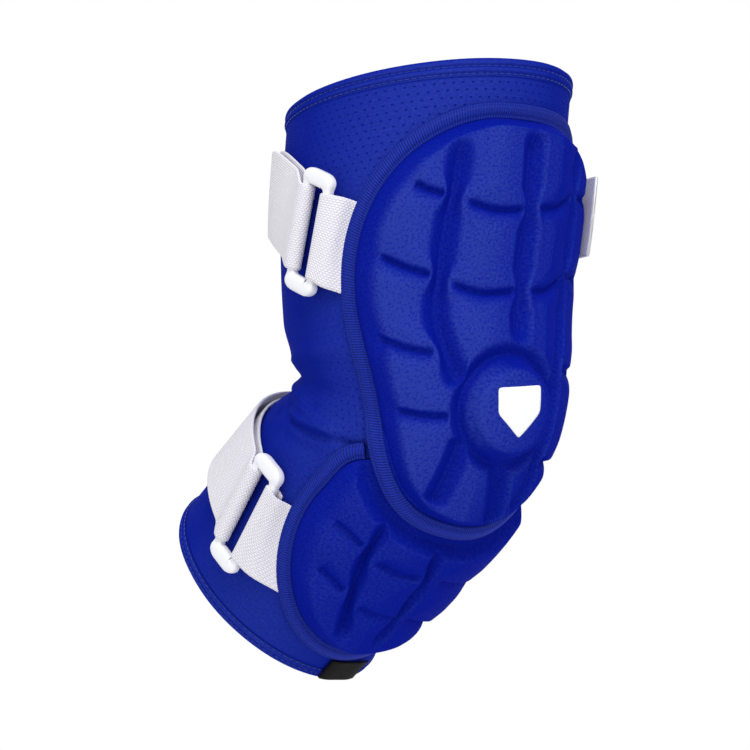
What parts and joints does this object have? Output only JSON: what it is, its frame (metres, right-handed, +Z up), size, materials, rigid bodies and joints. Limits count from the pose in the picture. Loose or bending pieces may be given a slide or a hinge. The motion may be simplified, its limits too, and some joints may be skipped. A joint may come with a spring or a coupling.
{
  "type": "elbow guard",
  "caption": "Padded arm guard: bent knitted sleeve with moulded pads over the elbow and forearm, held by webbing straps that turn back through oblong rings.",
  "frame": {"origin": "middle of the elbow, inside the sleeve, where the centrelines of its two straight legs cross", "axes": "+Z up the upper arm's centreline, +X out of the elbow's point, so the forearm leg runs towards -X and -Z; the rings are on the -Y side"},
  "size_m": [0.1796, 0.1196, 0.2149],
  "materials": {
    "knit": "royal blue stretch knit",
    "pad_cloth": "royal blue knit moulded over foam",
    "tape": "ribbed royal blue binding tape",
    "webbing": "white woven elastic webbing",
    "plastic": "white satin plastic",
    "label": "black woven label"
  },
  "bodies": {
    "root": {"sleeve": "knit", "upper_hem": "knit", "lower_hem": "knit", "upper_pad": "pad_cloth", "lower_pad": "pad_cloth", "upper_pad_binding": "tape", "lower_pad_binding": "tape", "upper_ring": "plastic", "lower_ring": "plastic", "upper_strap": "webbing", "lower_strap": "webbing", "upper_strap_tab": "webbing", "lower_strap_tab": "webbing", "label": "label"}
  },
  "joints": []
}
